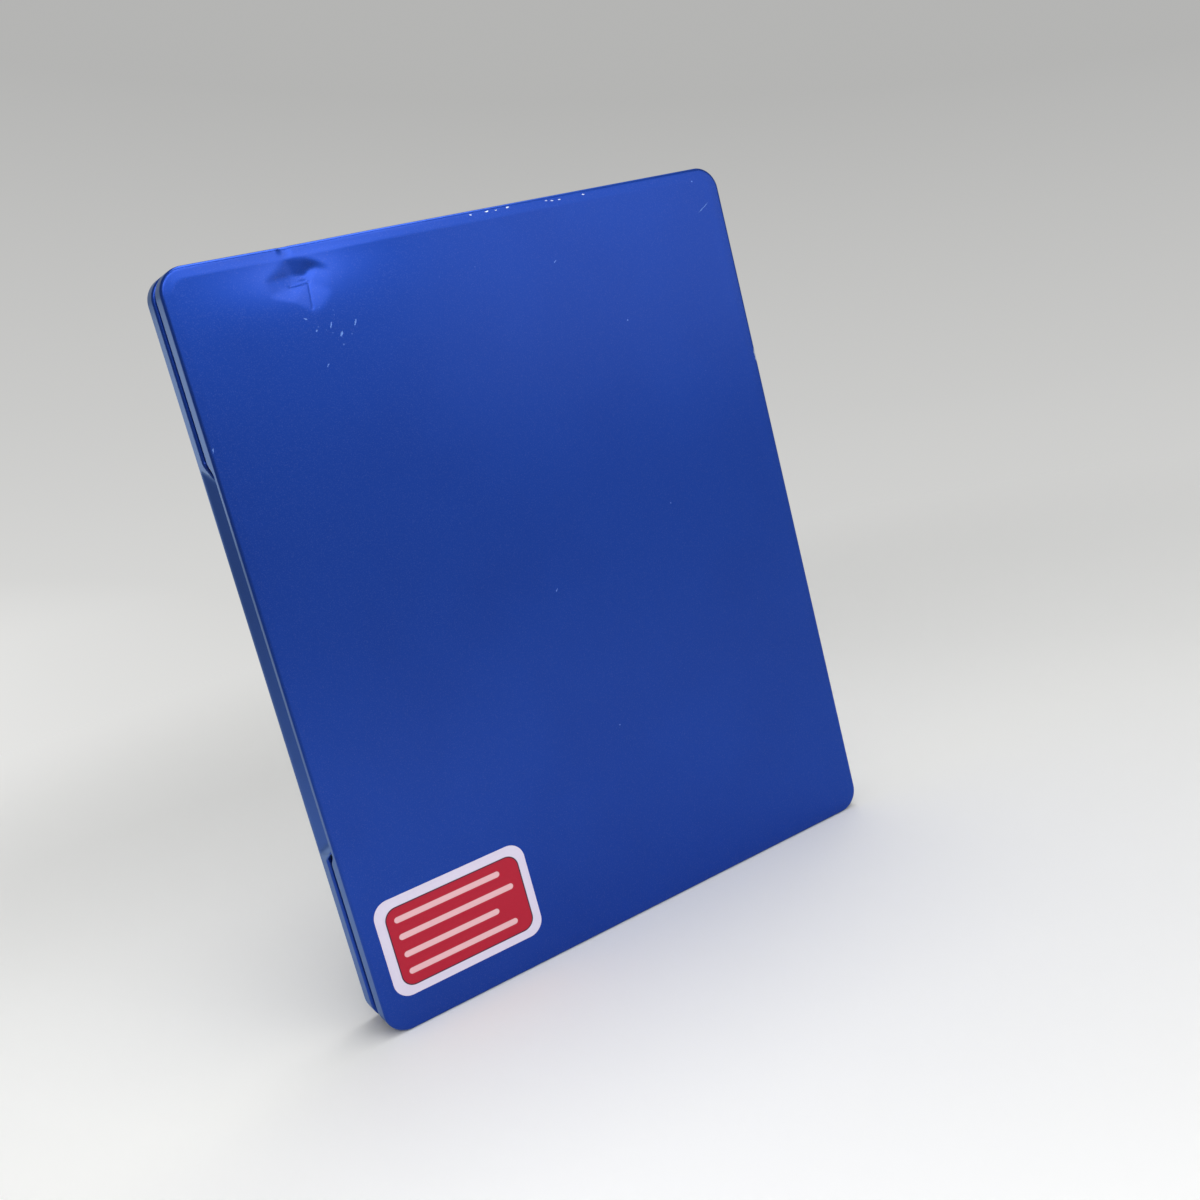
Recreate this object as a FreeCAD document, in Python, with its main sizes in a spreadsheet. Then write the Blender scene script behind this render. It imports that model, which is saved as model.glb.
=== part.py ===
import FreeCAD
import Part
import os
import re
import Sketcher

# Steel disc case, closed and standing on its lower edge. Millimetres.
# X runs across the case, with the opening edge at -X and the spine at +X.
# Y runs through it, with the back cover at -Y and the front cover at +Y. Z is up from the lower edge.

BACK = -1
FRONT = 1
GUARDS = 4
HUB_SLOTS = 8
SOCKET_SWEEP = 165
SOCKET_START = {BACK: 135, FRONT: 60}
SAME_PLACE = 1e-6

DIMENSIONS = {
    # Closed steel case
    "width": 136.0,
    "height": 170.0,
    "depth": 15.0,
    "gauge": 0.3,
    "corner_radius": 5.5,
    "edge_radius": 1.2,
    "rim_radius": 0.6,
    "seam_gap": 3.5,
    "rim_flange": 1.2,
    "spine_lip": 1.05,
    # Finger scoop in the opening edge: a tongue of the front cover that slants inward
    "tongue_length": 106.0,
    "tongue_centre": 86.0,
    "tongue_ramp": 10.0,
    "tongue_drop": 4.0,
    "tongue_gap": 0.5,
    "scoop_start": 1.5,
    "scoop_inset": 2.4,
    "scoop_ramp": 4.0,
    # Dent in the back cover, near the upper edge
    "dent_side": 29.0,
    "dent_drop": 7.7,
    "dent_reach": 6.0,
    "dent_depth": 1.0,
    "nick_side": 26.5,
    "nick_radius": 2.8,
    "nick_offset": 1.1,
    # Spine and its two folds
    "fold_inset": 1.1,
    "fold_depth": 2.0,
    "bead_radius": 0.7,
    "bead_clearance": 0.15,
    "socket_wall": 0.45,
    "spine_plate": 0.8,
    "spine_end": 5.0,
    "strip_edge": 0.9,
    "strip_end": 1.0,
    # Plastic trays
    "tray_clearance": 0.6,
    "snap_clearance": 0.3,
    "tray_standoff": 1.3,
    "tray_floor": 1.0,
    "tray_wall": 1.2,
    "spine_setback": 2.2,
    "parting_gap": 0.3,
    "recess_gap": 1.2,
    "recess_margin": 4.0,
    # Disc seat in the back tray
    "disc_shift": 0.5,
    "disc_radius": 60.0,
    "disc_thickness": 1.2,
    "seat_height": 1.2,
    "seat_radius": 17.5,
    "seat_bore": 10.0,
    "hub_radius": 7.35,
    "hub_bore": 4.5,
    "hub_rise": 0.8,
    "hub_chamfer": 0.5,
    "hub_slot": 1.0,
    "hub_sill": 0.3,
    "guard_clearance": 1.0,
    "guard_wall": 1.0,
    "guard_gap": 50.0,
    # Booklet clips in the front tray
    "clip_radius": 7.0,
    "clip_thickness": 1.0,
    "clip_recess": 0.5,
    "clip_end": 20.0,
    # Sticker on the back cover
    "sticker_side": 3.8,
    "sticker_low": 7.6,
    "sticker_width": 37.1,
    "sticker_height": 22.8,
    "sticker_radius": 3.8,
    "sticker_thickness": 0.12,
}

# Places worked out from the sheet. Distances through the case are taken from its middle plane.
FACE = "depth / 2"
RIM = "seam_gap / 2"
FLANGE_UNDER = "seam_gap / 2 + gauge"
FLOOR_UNDER = "depth / 2 - gauge - tray_standoff"
FLOOR_TOP = "depth / 2 - gauge - tray_standoff - tray_floor"
LEDGE_TOP = "seam_gap / 2 + gauge + snap_clearance"
RIM_STEP = "rim_flange + snap_clearance - gauge - tray_clearance"
PARTING = "parting_gap / 2"
SEAT_TOP = f"{FLOOR_TOP} - seat_height"
HUB_TOP = f"{SEAT_TOP} - disc_thickness - hub_rise"
GUARD_TOP = f"{SEAT_TOP} - disc_thickness"
FOLD_X = "width / 2 - fold_inset"
FOLD_Y = "depth / 2 - fold_depth"
DENT_RADIUS = "(dent_reach ^ 2 + dent_depth ^ 2) / (2 * dent_depth)"
TONGUE_WIDTH = "scoop_inset + rim_flange"
TONGUE_LOW = "tongue_centre - tongue_length / 2"
TONGUE_HIGH = "tongue_centre + tongue_length / 2"
SCOOP_TOP = "depth / 2 - scoop_start"
RECESS_X = f"-width / 2 + {TONGUE_WIDTH} + recess_gap"

doc = FreeCAD.newDocument("disc_case")
sheet = doc.addObject("Spreadsheet::Sheet", "sizes")
for row, (alias, size) in enumerate(DIMENSIONS.items(), start=1):
    sheet.set(f"A{row}", alias)
    sheet.set(f"B{row}", str(size))
    sheet.setAlias(f"B{row}", alias)
doc.recompute()


def cell(text):
    """Turn a formula in plain aliases into an expression on the sheet."""
    return re.sub(r"[a-z][a-z_]*", lambda word: "sizes." + word.group(), str(text))


def value(text):
    """Number that a formula in plain aliases gives now."""
    return float(sheet.evalExpression(cell(text)))


def bind(item, **formulas):
    """Bind properties of an object; a double underscore stands for a dot."""
    for name, text in formulas.items():
        item.setExpression(name.replace("__", "."), cell(text))


def inset_frame(amount):
    """Outline of the closed case, drawn in all round: left, right, low, high, corner radius."""
    return (
        f"-width / 2 + ({amount})",
        f"width / 2 - ({amount})",
        f"{amount}",
        f"height - ({amount})",
        f"corner_radius - ({amount})",
    )


def tray_frame(step):
    """Outline of a tray at its ledge, set back from the spine, and drawn in all round by a step."""
    left, _, low, high, radius = inset_frame(f"gauge + tray_clearance + {step}")
    return left, f"width / 2 - spine_setback - ({step})", low, high, radius


def origin_plane(body, role):
    """One of the three base planes of a body."""
    return next(plane for plane in body.Origin.OriginFeatures if plane.Role == role)


def face_sketch(body, name, level, across="0", up="0"):
    """Empty sketch parallel to the covers, at the given place; its own x is X and its own y is Z."""
    sketch = body.newObject("Sketcher::SketchObject", name)
    sketch.AttachmentSupport = [(origin_plane(body, "XZ_Plane"), "")]
    sketch.MapMode = "FlatFace"
    bind(sketch, AttachmentOffset__Base__x=across, AttachmentOffset__Base__y=up)
    bind(sketch, AttachmentOffset__Base__z=f"-({level})")
    return sketch


def constrain(sketch, name, text, kind, *places):
    """Add a constraint that takes its size from the sheet."""
    index = sketch.addConstraint(Sketcher.Constraint(kind, *places, value(text)))
    sketch.renameConstraint(index, name)
    sketch.setExpression(f"Constraints.{name}", cell(text))


def rounded_rectangle(sketch, frame):
    """Draw a rectangle with round corners from left, right, low, high and corner radius."""
    left, right, low, high, radius = [value(text) for text in frame]
    corners = [(right, low, -90), (right, high, 0), (left, high, 90), (left, low, 180)]
    ends = [(left + radius, low, right - radius, low), (right, low + radius, right, high - radius)]
    ends += [(right - radius, high, left + radius, high), (left, high - radius, left, low + radius)]
    for x1, y1, x2, y2 in ends:
        sketch.addGeometry(Part.LineSegment(FreeCAD.Vector(x1, y1), FreeCAD.Vector(x2, y2)))
    for x, y, start in corners:
        centre = FreeCAD.Vector(
            x - radius if x == right else x + radius,
            y - radius if y == high else y + radius,
        )
        circle = Part.Circle(centre, FreeCAD.Vector(0, 0, 1), radius)
        first = FreeCAD.Units.Quantity(f"{start} deg").getValueAs("rad").Value
        last = FreeCAD.Units.Quantity(f"{start + 90} deg").getValueAs("rad").Value
        sketch.addGeometry(Part.ArcOfCircle(circle, first, last))
    for side in range(4):
        sketch.addConstraint(Sketcher.Constraint("Tangent", side, 2, side + 4, 1))
        sketch.addConstraint(Sketcher.Constraint("Tangent", side + 4, 2, (side + 1) % 4, 1))
        direction = "Horizontal" if side % 2 == 0 else "Vertical"
        sketch.addConstraint(Sketcher.Constraint(direction, side))
    for arc in (5, 6, 7):
        sketch.addConstraint(Sketcher.Constraint("Equal", 4, arc))
    constrain(sketch, "left_side", frame[0], "DistanceX", -1, 1, 3, 1)
    constrain(sketch, "right_side", frame[1], "DistanceX", -1, 1, 1, 1)
    constrain(sketch, "low_side", frame[2], "DistanceY", -1, 1, 0, 1)
    constrain(sketch, "high_side", frame[3], "DistanceY", -1, 1, 2, 1)
    constrain(sketch, "corner", frame[4], "Radius", 4)


def plain_rectangle(sketch, left, right, low, high):
    """Draw a square-cornered rectangle from four formulas."""
    x1, x2, y1, y2 = [value(text) for text in (left, right, low, high)]
    points = [(x1, y1), (x2, y1), (x2, y2), (x1, y2)]
    for index in range(4):
        start = FreeCAD.Vector(*points[index])
        end = FreeCAD.Vector(*points[(index + 1) % 4])
        sketch.addGeometry(Part.LineSegment(start, end))
    for side in range(4):
        sketch.addConstraint(Sketcher.Constraint("Coincident", side, 2, (side + 1) % 4, 1))
        direction = "Horizontal" if side % 2 == 0 else "Vertical"
        sketch.addConstraint(Sketcher.Constraint(direction, side))
    constrain(sketch, "left_side", left, "DistanceX", -1, 1, 0, 1)
    constrain(sketch, "right_side", right, "DistanceX", -1, 1, 1, 1)
    constrain(sketch, "low_side", low, "DistanceY", -1, 1, 0, 1)
    constrain(sketch, "high_side", high, "DistanceY", -1, 1, 2, 1)


def ring(sketch, outer, inner):
    """Draw two circles about the sketch's own origin."""
    for index, (name, text) in enumerate((("outer", outer), ("inner", inner))):
        circle = Part.Circle(FreeCAD.Vector(0, 0), FreeCAD.Vector(0, 0, 1), value(text))
        sketch.addGeometry(circle)
        sketch.addConstraint(Sketcher.Constraint("Coincident", index, 3, -1, 1))
        constrain(sketch, name, text, "Radius", index)


def half_disc(sketch, radius, toward):
    """Draw a half disc on the sketch's own origin, bulging toward +x or -x."""
    reach = value(radius)
    circle = Part.Circle(FreeCAD.Vector(0, 0), FreeCAD.Vector(0, 0, 1), reach)
    quarter = FreeCAD.Units.Quantity("90 deg").getValueAs("rad").Value
    first = -quarter if toward > 0 else quarter
    sketch.addGeometry(Part.ArcOfCircle(circle, first, first + 2 * quarter))
    low = FreeCAD.Vector(0, -reach * toward)
    high = FreeCAD.Vector(0, reach * toward)
    sketch.addGeometry(Part.LineSegment(high, low))
    sketch.addConstraint(Sketcher.Constraint("Coincident", 0, 3, -1, 1))
    sketch.addConstraint(Sketcher.Constraint("Coincident", 0, 2, 1, 1))
    sketch.addConstraint(Sketcher.Constraint("Coincident", 1, 2, 0, 1))
    sketch.addConstraint(Sketcher.Constraint("PointOnObject", 1, 1, -2))
    sketch.addConstraint(Sketcher.Constraint("PointOnObject", 1, 2, -2))
    constrain(sketch, "reach", radius, "Radius", 0)


def lower_level(side, near, far):
    """Y of the lower end of a stretch that lies between two distances from the middle plane."""
    return f"-({far})" if side == BACK else near


def grow(kind, body, name, sketch, near, far):
    """Pad or pocket a sketch toward +Y over the stretch between two distances."""
    feature = body.newObject(kind, name)
    feature.Profile = sketch
    feature.Reversed = kind == "PartDesign::Pad"
    bind(feature, Length=f"({far}) - ({near})")
    return feature


def slab(body, name, side, near, far, frame, kind="PartDesign::Pad"):
    """Round-cornered slab, or hollow, of one half of the case."""
    sketch = face_sketch(body, name + "_outline", lower_level(side, near, far))
    rounded_rectangle(sketch, frame)
    return grow(kind, body, name, sketch, near, far)


def round_edges(body, base, name, level, radius):
    """Fillet the whole loop of edges that lies in one plane parallel to the covers."""
    doc.recompute()
    height = value(level)
    edges = []
    for index, edge in enumerate(base.Shape.Edges, start=1):
        if all(abs(vertex.Y - height) < SAME_PLACE for vertex in edge.Vertexes):
            edges.append(f"Edge{index}")
    fillet = body.newObject("PartDesign::Fillet", name)
    fillet.Base = (base, edges)
    bind(fillet, Radius=radius)
    return fillet


def box(name, left, right, near, far, low, high):
    """Box between two formulas along each axis."""
    block = doc.addObject("Part::Box", name)
    bind(block, Length=f"({right}) - ({left})", Width=f"({far}) - ({near})")
    bind(block, Height=f"({high}) - ({low})")
    bind(block, Placement__Base__x=left, Placement__Base__y=near, Placement__Base__z=low)
    return block


def sphere(name, radius, x, y, z):
    """Ball at a place given by formulas."""
    ball = doc.addObject("Part::Sphere", name)
    bind(ball, Radius=radius)
    bind(ball, Placement__Base__x=x, Placement__Base__y=y, Placement__Base__z=z)
    return ball


def upright_cylinder(name, radius, x, y, low, high):
    """Round bar along Z."""
    bar = doc.addObject("Part::Cylinder", name)
    bind(bar, Radius=radius, Height=f"({high}) - ({low})")
    bind(bar, Placement__Base__x=x, Placement__Base__y=y, Placement__Base__z=low)
    return bar


def cut(name, base, tool):
    """Take one object out of another."""
    result = doc.addObject("Part::Cut", name)
    result.Base = base
    result.Tool = tool
    return result


def fuse(name, *shapes):
    """Join objects into one."""
    result = doc.addObject("Part::MultiFuse", name)
    result.Shapes = list(shapes)
    result.Refine = True
    return result


def side_name(side):
    """Word for one half of the case."""
    return "back" if side == BACK else "front"


def cover_blank(side):
    """Outside of a pressed cover: a shallow round-cornered slab with rounded face edge and rim."""
    word = side_name(side)
    body = doc.addObject("PartDesign::Body", word + "_blank")
    pad = slab(body, word + "_blank_pad", side, RIM, FACE, inset_frame("0"))
    edge = round_edges(body, pad, word + "_blank_edge", f"{side} * ({FACE})", "edge_radius")
    round_edges(body, edge, word + "_blank_rim", f"{side} * ({RIM})", "rim_radius")
    return body


def cover_void(side):
    """Inside of a pressed cover, with a narrower mouth that leaves the rim's inward flange."""
    word = side_name(side)
    body = doc.addObject("PartDesign::Body", word + "_void")
    face_inside = f"{FACE} - gauge"
    pad = slab(body, word + "_void_pad", side, FLANGE_UNDER, face_inside, inset_frame("gauge"))
    edge = round_edges(body, pad, word + "_void_edge", f"{side} * ({face_inside})", "edge_radius - gauge")
    round_edges(body, edge, word + "_void_rim", f"{side} * ({FLANGE_UNDER})", "rim_radius - gauge")
    slab(body, word + "_mouth", side, "0", f"{FACE} - edge_radius", inset_frame("rim_flange"))
    return body


def spine_opening(side):
    """Stretch of wall that a cover lacks at the spine, past a narrow rolled lip."""
    lip = f"{FACE} - spine_lip"
    near, far = (f"-({lip})", "0") if side == BACK else ("0", lip)
    beyond = "edge_radius"
    left = "width / 2 - corner_radius"
    name = side_name(side) + "_spine_opening"
    return box(name, left, f"width / 2 + {beyond}", near, far, f"-{beyond}", f"height + {beyond}")


def tongue_block(name, margin, left, right, drop):
    """Tongue between two X planes, tapering in Z from the scoop's upper limit to its rim."""
    block = doc.addObject("Part::Wedge", name)
    bind(block, Xmin=left, Xmax=right, X2min=left, X2max=right)
    bind(block, Ymin=f"-({drop})", Ymax=SCOOP_TOP)
    bind(block, Zmin=f"{TONGUE_LOW} + tongue_ramp - ({margin})")
    bind(block, Zmax=f"{TONGUE_HIGH} - tongue_ramp + ({margin})")
    bind(block, Z2min=f"{TONGUE_LOW} - ({margin})", Z2max=f"{TONGUE_HIGH} + ({margin})")
    return block


def scoop_cutter(name, skin):
    """Hollow that slants the tongue inward, between the ramps, shallow at its ends and at the front face."""
    cutter = doc.addObject("Part::Wedge", name)
    reach = "tongue_drop + edge_radius"
    bind(cutter, Ymin="0", Ymax="scoop_inset")
    bind(cutter, Xmin=f"-({SCOOP_TOP})", Xmax=reach, X2min="tongue_drop", X2max=reach)
    low = f"{TONGUE_LOW} + tongue_ramp"
    high = f"{TONGUE_HIGH} - tongue_ramp"
    bind(cutter, Zmin=low, Zmax=high)
    bind(cutter, Z2min=f"{low} + scoop_ramp", Z2max=f"{high} - scoop_ramp")
    cutter.Placement.Rotation = FreeCAD.Rotation(FreeCAD.Vector(0, 0, 1), -90)
    bind(cutter, Placement__Base__x=f"-width / 2 + ({skin})")
    return cutter


def dent_formers(word, skin):
    """Balls that press the dent and the nick in the edge, larger by the sheet for the inside."""
    face_y = f"-({FACE})"
    dent_y = f"{face_y} - {DENT_RADIUS} + dent_depth"
    dent_radius = f"{DENT_RADIUS} + ({skin})"
    dent = sphere(word + "_dent", dent_radius, "-width / 2 + dent_side", dent_y, "height - dent_drop")
    nick = sphere(
        word + "_nick",
        f"nick_radius + ({skin})",
        "-width / 2 + nick_side",
        f"{face_y} - nick_offset",
        "height + nick_offset",
    )
    return fuse(word + "_formers", dent, nick)


def make_back_cover():
    """Back cover, dented, with its opening wall cut low where the tongue comes down."""
    blank = cut("back_dented", cover_blank(BACK), dent_formers("outer", "0"))
    void = cut("back_inside", cover_void(BACK), dent_formers("inner", "gauge"))
    shell = cut("back_shell", blank, void)
    shell = cut("back_open", shell, spine_opening(BACK))
    left = "-width / 2 - edge_radius"
    right = f"-width / 2 + {TONGUE_WIDTH}"
    notch = tongue_block("back_notch", "tongue_gap", left, right, "tongue_drop + tongue_gap")
    return cut("back_cover", shell, notch)


def make_front_cover():
    """Front cover, whose opening wall comes down in the middle as a slanting tongue."""
    left = "-width / 2"
    right = f"-width / 2 + {TONGUE_WIDTH}"
    tongue = tongue_block("tongue", "0", left, right, "tongue_drop")
    outside = fuse("front_outside", cover_blank(FRONT), tongue)
    outside = cut("front_scooped", outside, scoop_cutter("scoop", "0"))
    hollow = tongue_block(
        "tongue_hollow",
        "-gauge",
        f"{left} + gauge",
        f"{right} + edge_radius",
        "tongue_drop - gauge",
    )
    void = fuse("front_inside", cover_void(FRONT), hollow)
    void = cut("front_void_scooped", void, scoop_cutter("scoop_inside", "gauge"))
    shell = cut("front_shell", outside, void)
    return cut("front_cover", shell, spine_opening(FRONT))


def tray_socket(side):
    """Open round channel along a fold, in which a bead of the spine turns."""
    word = side_name(side)
    fold_y = f"{side} * ({FOLD_Y})"
    ends = ("spine_end", "height - spine_end")
    outer_radius = "bead_radius + bead_clearance + socket_wall"
    outer = upright_cylinder(word + "_socket_bar", outer_radius, FOLD_X, fold_y, *ends)
    outer.Angle = SOCKET_SWEEP
    outer.Placement.Rotation = FreeCAD.Rotation(FreeCAD.Vector(0, 0, 1), SOCKET_START[side])
    bore = upright_cylinder(word + "_socket_bore", "bead_radius + bead_clearance", FOLD_X, fold_y, *ends)
    return cut(word + "_socket", outer, bore)


def tray_body(side):
    """Tray moulding: a floor, a ledge that snaps under the steel flange, and a rim to the parting plane."""
    word = side_name(side)
    body = doc.addObject("PartDesign::Body", word + "_moulding")
    inside = tray_frame(f"{RIM_STEP} + tray_wall")
    slab(body, word + "_ledge", side, LEDGE_TOP, FLOOR_UNDER, tray_frame("0"))
    slab(body, word + "_rim", side, PARTING, FLOOR_UNDER, tray_frame(RIM_STEP))
    slab(body, word + "_well", side, PARTING, FLOOR_TOP, inside, "PartDesign::Pocket")
    return body


def recessed_tray(side, body):
    """Set the rim of a tray back behind the tongue, and add the channel of its fold."""
    word = side_name(side)
    low = f"{TONGUE_LOW} - recess_margin"
    high = f"{TONGUE_HIGH} + recess_margin"
    near, far = (f"-({FLOOR_UNDER})", f"-({PARTING})") if side == BACK else (PARTING, FLOOR_TOP)
    wall_left = "-width / 2 + rim_flange + snap_clearance"
    wall_right = f"{RECESS_X} + tray_wall"
    wall = box(word + "_recess_wall", wall_left, wall_right, near, far,
               f"{low} - tray_wall", f"{high} + tray_wall")
    joined = fuse(word + "_joined", body, wall, tray_socket(side))
    recess = box(word + "_recess", "-width", RECESS_X, near, far, low, high)
    return cut(word + "_tray", joined, recess)


def hub_sketch(body, name, near):
    """Sketch about the disc's centre, on the back tray's side."""
    return face_sketch(body, name, f"-({near})", "disc_shift", "height / 2")


def polar(body, name, feature, sketch, count):
    """Repeat a feature evenly round the disc's centre."""
    pattern = body.newObject("PartDesign::PolarPattern", name)
    pattern.Originals = [feature]
    pattern.Axis = (sketch, ["N_Axis"])
    pattern.Angle = 360
    pattern.Occurrences = count
    body.Tip = pattern
    return pattern


def add_ring(body, name, outer, inner, top):
    """Ring about the disc's centre, standing on the floor of the back tray."""
    sketch = hub_sketch(body, name + "_circles", FLOOR_UNDER)
    ring(sketch, outer, inner)
    return grow("PartDesign::Pad", body, name, sketch, top, FLOOR_UNDER)


def make_back_tray():
    """Disc side: seat ring, slotted hub and four guards round the disc."""
    body = tray_body(BACK)
    guard_inner = "disc_radius + guard_clearance"
    add_ring(body, "guards", f"{guard_inner} + guard_wall", guard_inner, GUARD_TOP)
    doc.recompute()
    gap = hub_sketch(body, "guard_gap_outline", FLOOR_TOP)
    half = "guard_gap / 2"
    plain_rectangle(gap, "seat_radius", "disc_radius + guard_clearance + guard_wall + gauge",
                    f"-{half}", half)
    gap_cut = grow("PartDesign::Pocket", body, "guard_gap", gap, GUARD_TOP, FLOOR_TOP)
    polar(body, "guard_gaps", gap_cut, gap, GUARDS)
    add_ring(body, "seat", "seat_radius", "seat_bore", SEAT_TOP)
    hub = add_ring(body, "hub", "hub_radius", "hub_bore", HUB_TOP)
    chamfer_hub(body, hub)
    doc.recompute()
    sill = f"{SEAT_TOP} - hub_sill"
    slot = hub_sketch(body, "hub_slot_outline", sill)
    plain_rectangle(slot, "hub_bore / 2", "(hub_radius + seat_bore) / 2", "-hub_slot / 2", "hub_slot / 2")
    slot_cut = grow("PartDesign::Pocket", body, "hub_slot_cut", slot, HUB_TOP, sill)
    polar(body, "hub_slots", slot_cut, slot, HUB_SLOTS)
    return recessed_tray(BACK, body)


def chamfer_hub(body, hub):
    """Lead-in on the upper outside edge of the hub."""
    doc.recompute()
    top = -value(HUB_TOP)
    radius = value("hub_radius")
    edges = []
    for index, edge in enumerate(hub.Shape.Edges, start=1):
        round_edge = isinstance(edge.Curve, Part.Circle) and abs(edge.Curve.Radius - radius) < SAME_PLACE
        if round_edge and abs(edge.Curve.Center.y - top) < SAME_PLACE:
            edges.append(f"Edge{index}")
    chamfer = body.newObject("PartDesign::Chamfer", "hub_lead_in")
    chamfer.Base = (hub, edges)
    bind(chamfer, Size="hub_chamfer")


def make_front_tray():
    """Booklet side: four half-round clips that stand out from the rim, clear of the floor."""
    body = tray_body(FRONT)
    inside = tray_frame(f"{RIM_STEP} + tray_wall / 2")
    near = f"{PARTING} + clip_recess"
    places = [
        ("clip_low_left", inside[0], "clip_end", 1),
        ("clip_high_left", inside[0], "height - clip_end", 1),
        ("clip_low_right", inside[1], "clip_end", -1),
        ("clip_high_right", inside[1], "height - clip_end", -1),
    ]
    for name, across, up, toward in places:
        sketch = face_sketch(body, name + "_outline", near, across, up)
        half_disc(sketch, "clip_radius", toward)
        grow("PartDesign::Pad", body, name, sketch, near, f"{near} + clip_thickness")
    return recessed_tray(FRONT, body)


def make_spine_core():
    """Plastic back of the spine, with a round bead along each fold."""
    half = "spine_plate / 2"
    ends = ("spine_end", "height - spine_end")
    plate = box("spine_web", f"{FOLD_X} - {half}", f"{FOLD_X} + {half}", f"-({FOLD_Y})", FOLD_Y, *ends)
    beads = []
    for side in (BACK, FRONT):
        name = side_name(side) + "_bead"
        beads.append(upright_cylinder(name, "bead_radius", FOLD_X, f"{side} * ({FOLD_Y})", *ends))
    return fuse("spine_core", plate, *beads)


def make_spine_cover():
    """Steel strip on the outside of the spine."""
    left = f"{FOLD_X} + spine_plate / 2"
    edge = f"{FOLD_Y} - strip_edge"
    low = "spine_end + strip_end"
    return box("spine_cover", left, f"{left} + gauge", f"-({edge})", edge, low, f"height - ({low})")


def make_sticker():
    """Blank sticker on the back cover, at the lower corner of the opening edge."""
    body = doc.addObject("PartDesign::Body", "sticker")
    left = "-width / 2 + sticker_side"
    frame = (
        left,
        f"{left} + sticker_width",
        "sticker_low",
        "sticker_low + sticker_height",
        "sticker_radius",
    )
    slab(body, "sticker_pad", BACK, FACE, f"{FACE} + sticker_thickness", frame)
    return body


NODES = {
    "back_cover": make_back_cover(),
    "back_tray": make_back_tray(),
    "sticker": make_sticker(),
    "spine_cover": make_spine_cover(),
    "spine_core": make_spine_core(),
    "front_cover": make_front_cover(),
    "front_tray": make_front_tray(),
}
for node, item in NODES.items():
    item.Label = node
doc.recompute()

for item in doc.Objects:
    if "Invalid" in item.State or "Error" in item.State:
        raise RuntimeError(f"{item.Name} failed: {item.State}")
for node, item in NODES.items():
    if item.Shape.isNull() or not item.Shape.isValid() or len(item.Shape.Solids) != 1:
        raise RuntimeError(f"{node} is not one valid solid")

os.makedirs("parts", exist_ok=True)
for node, item in NODES.items():
    item.Shape.exportStep(f"parts/{node}.step")
    bounds = item.Shape.BoundBox
    print(node, round(item.Shape.Volume, 1), [round(edge, 2) for edge in (
        bounds.XMin, bounds.XMax, bounds.YMin, bounds.YMax, bounds.ZMin, bounds.ZMax)])
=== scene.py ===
"""Looks of a steel disc case: two pressed steel covers, plastic trays, a flat spine and a sticker."""

import math

import bmesh
import bpy
from mathutils import Matrix, Vector


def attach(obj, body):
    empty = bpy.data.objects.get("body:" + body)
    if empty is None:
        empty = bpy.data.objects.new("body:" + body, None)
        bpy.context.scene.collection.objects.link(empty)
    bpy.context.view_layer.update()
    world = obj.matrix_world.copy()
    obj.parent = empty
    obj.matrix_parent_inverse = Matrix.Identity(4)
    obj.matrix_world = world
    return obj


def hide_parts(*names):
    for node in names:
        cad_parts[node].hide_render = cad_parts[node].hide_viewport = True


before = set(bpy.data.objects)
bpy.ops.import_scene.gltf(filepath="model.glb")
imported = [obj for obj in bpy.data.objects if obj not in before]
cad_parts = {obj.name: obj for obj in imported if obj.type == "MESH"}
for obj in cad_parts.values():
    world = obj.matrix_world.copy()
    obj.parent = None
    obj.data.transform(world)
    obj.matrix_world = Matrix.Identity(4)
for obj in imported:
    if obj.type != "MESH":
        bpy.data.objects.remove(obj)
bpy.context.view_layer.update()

# Sizes are in millimetres: x across, y through, z up. One millimetre in metres:
MM = 0.001
BACK = -1
FRONT = 1
QUARTER_TURN = 90.0

# Pressed covers
HALF_WIDTH = 68.0
HEIGHT = 170.0
FACE_LEVEL = 7.5
GAUGE = 0.3
CORNER_RADIUS = 5.5
CORNER_STEPS = 12
EDGE_RADIUS = 0.8
EDGE_STEPS = 10
RIM_LEVEL = 1.75
RIM_RADIUS = 0.6
RIM_STEPS = 5
FLANGE = 1.2
FLANGE_LEAST = 0.7
SPINE_TRIM = 0.01
CRISP_ANGLE = 50.0
BACK_WALL_STEPS = 5
FRONT_WALL_STEPS = 12

# A narrow band round the face slopes off a little before the rounded edge
ROLL_INSET = 2.8
ROLL_SLOPE = 0.065
ROLL_SOFT = 0.5
ROLL_STEPS = 8
WALL_TOP = FACE_LEVEL - ROLL_SLOPE * (ROLL_INSET - EDGE_RADIUS - ROLL_SOFT / 2.0) - EDGE_RADIUS

# Rows and columns of a face: first place, last place and distance apart, finer at the dent
FACE_CORNER = CORNER_RADIUS - ROLL_INSET
FACE_END = HALF_WIDTH - CORNER_RADIUS
FACE_TOP = HEIGHT - CORNER_RADIUS
ROW_BANDS = (
    (CORNER_RADIUS, 34.0, 3.3),
    (34.0, 49.0, 0.4),
    (49.0, 123.0, 4.0),
    (123.0, 138.0, 0.4),
    (138.0, 152.0, 2.5),
)
TOP_ROWS_FINE = (152.0, FACE_TOP, 0.2)
TOP_ROWS_PLAIN = (152.0, FACE_TOP, 3.0)
COLUMNS_FINE = ((-FACE_END, -48.0, 2.5), (-48.0, -29.0, 0.2), (-29.0, FACE_END, 4.0))
COLUMNS_PLAIN = ((-FACE_END, FACE_END, 8.0),)

# Tongue of the front cover and the notch that it closes in the back cover
TONGUE_LEVEL = -4.0
TONGUE_MIDS = (42.5, 129.2)
TONGUE_BLEND = 4.0
NOTCH_LEVEL = 4.5
NOTCH_MIDS = (42.1, 129.6)
NOTCH_BLEND = 3.0
SCOOP_LEVEL = 6.0
SCOOP_INSET = 2.4
SCOOP_ENDS = (41.6, 130.0)
SCOOP_SKEW = 0.23
SCOOP_RAMP = 3.0
SCOOP_SOFTNESS = 0.25

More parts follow.
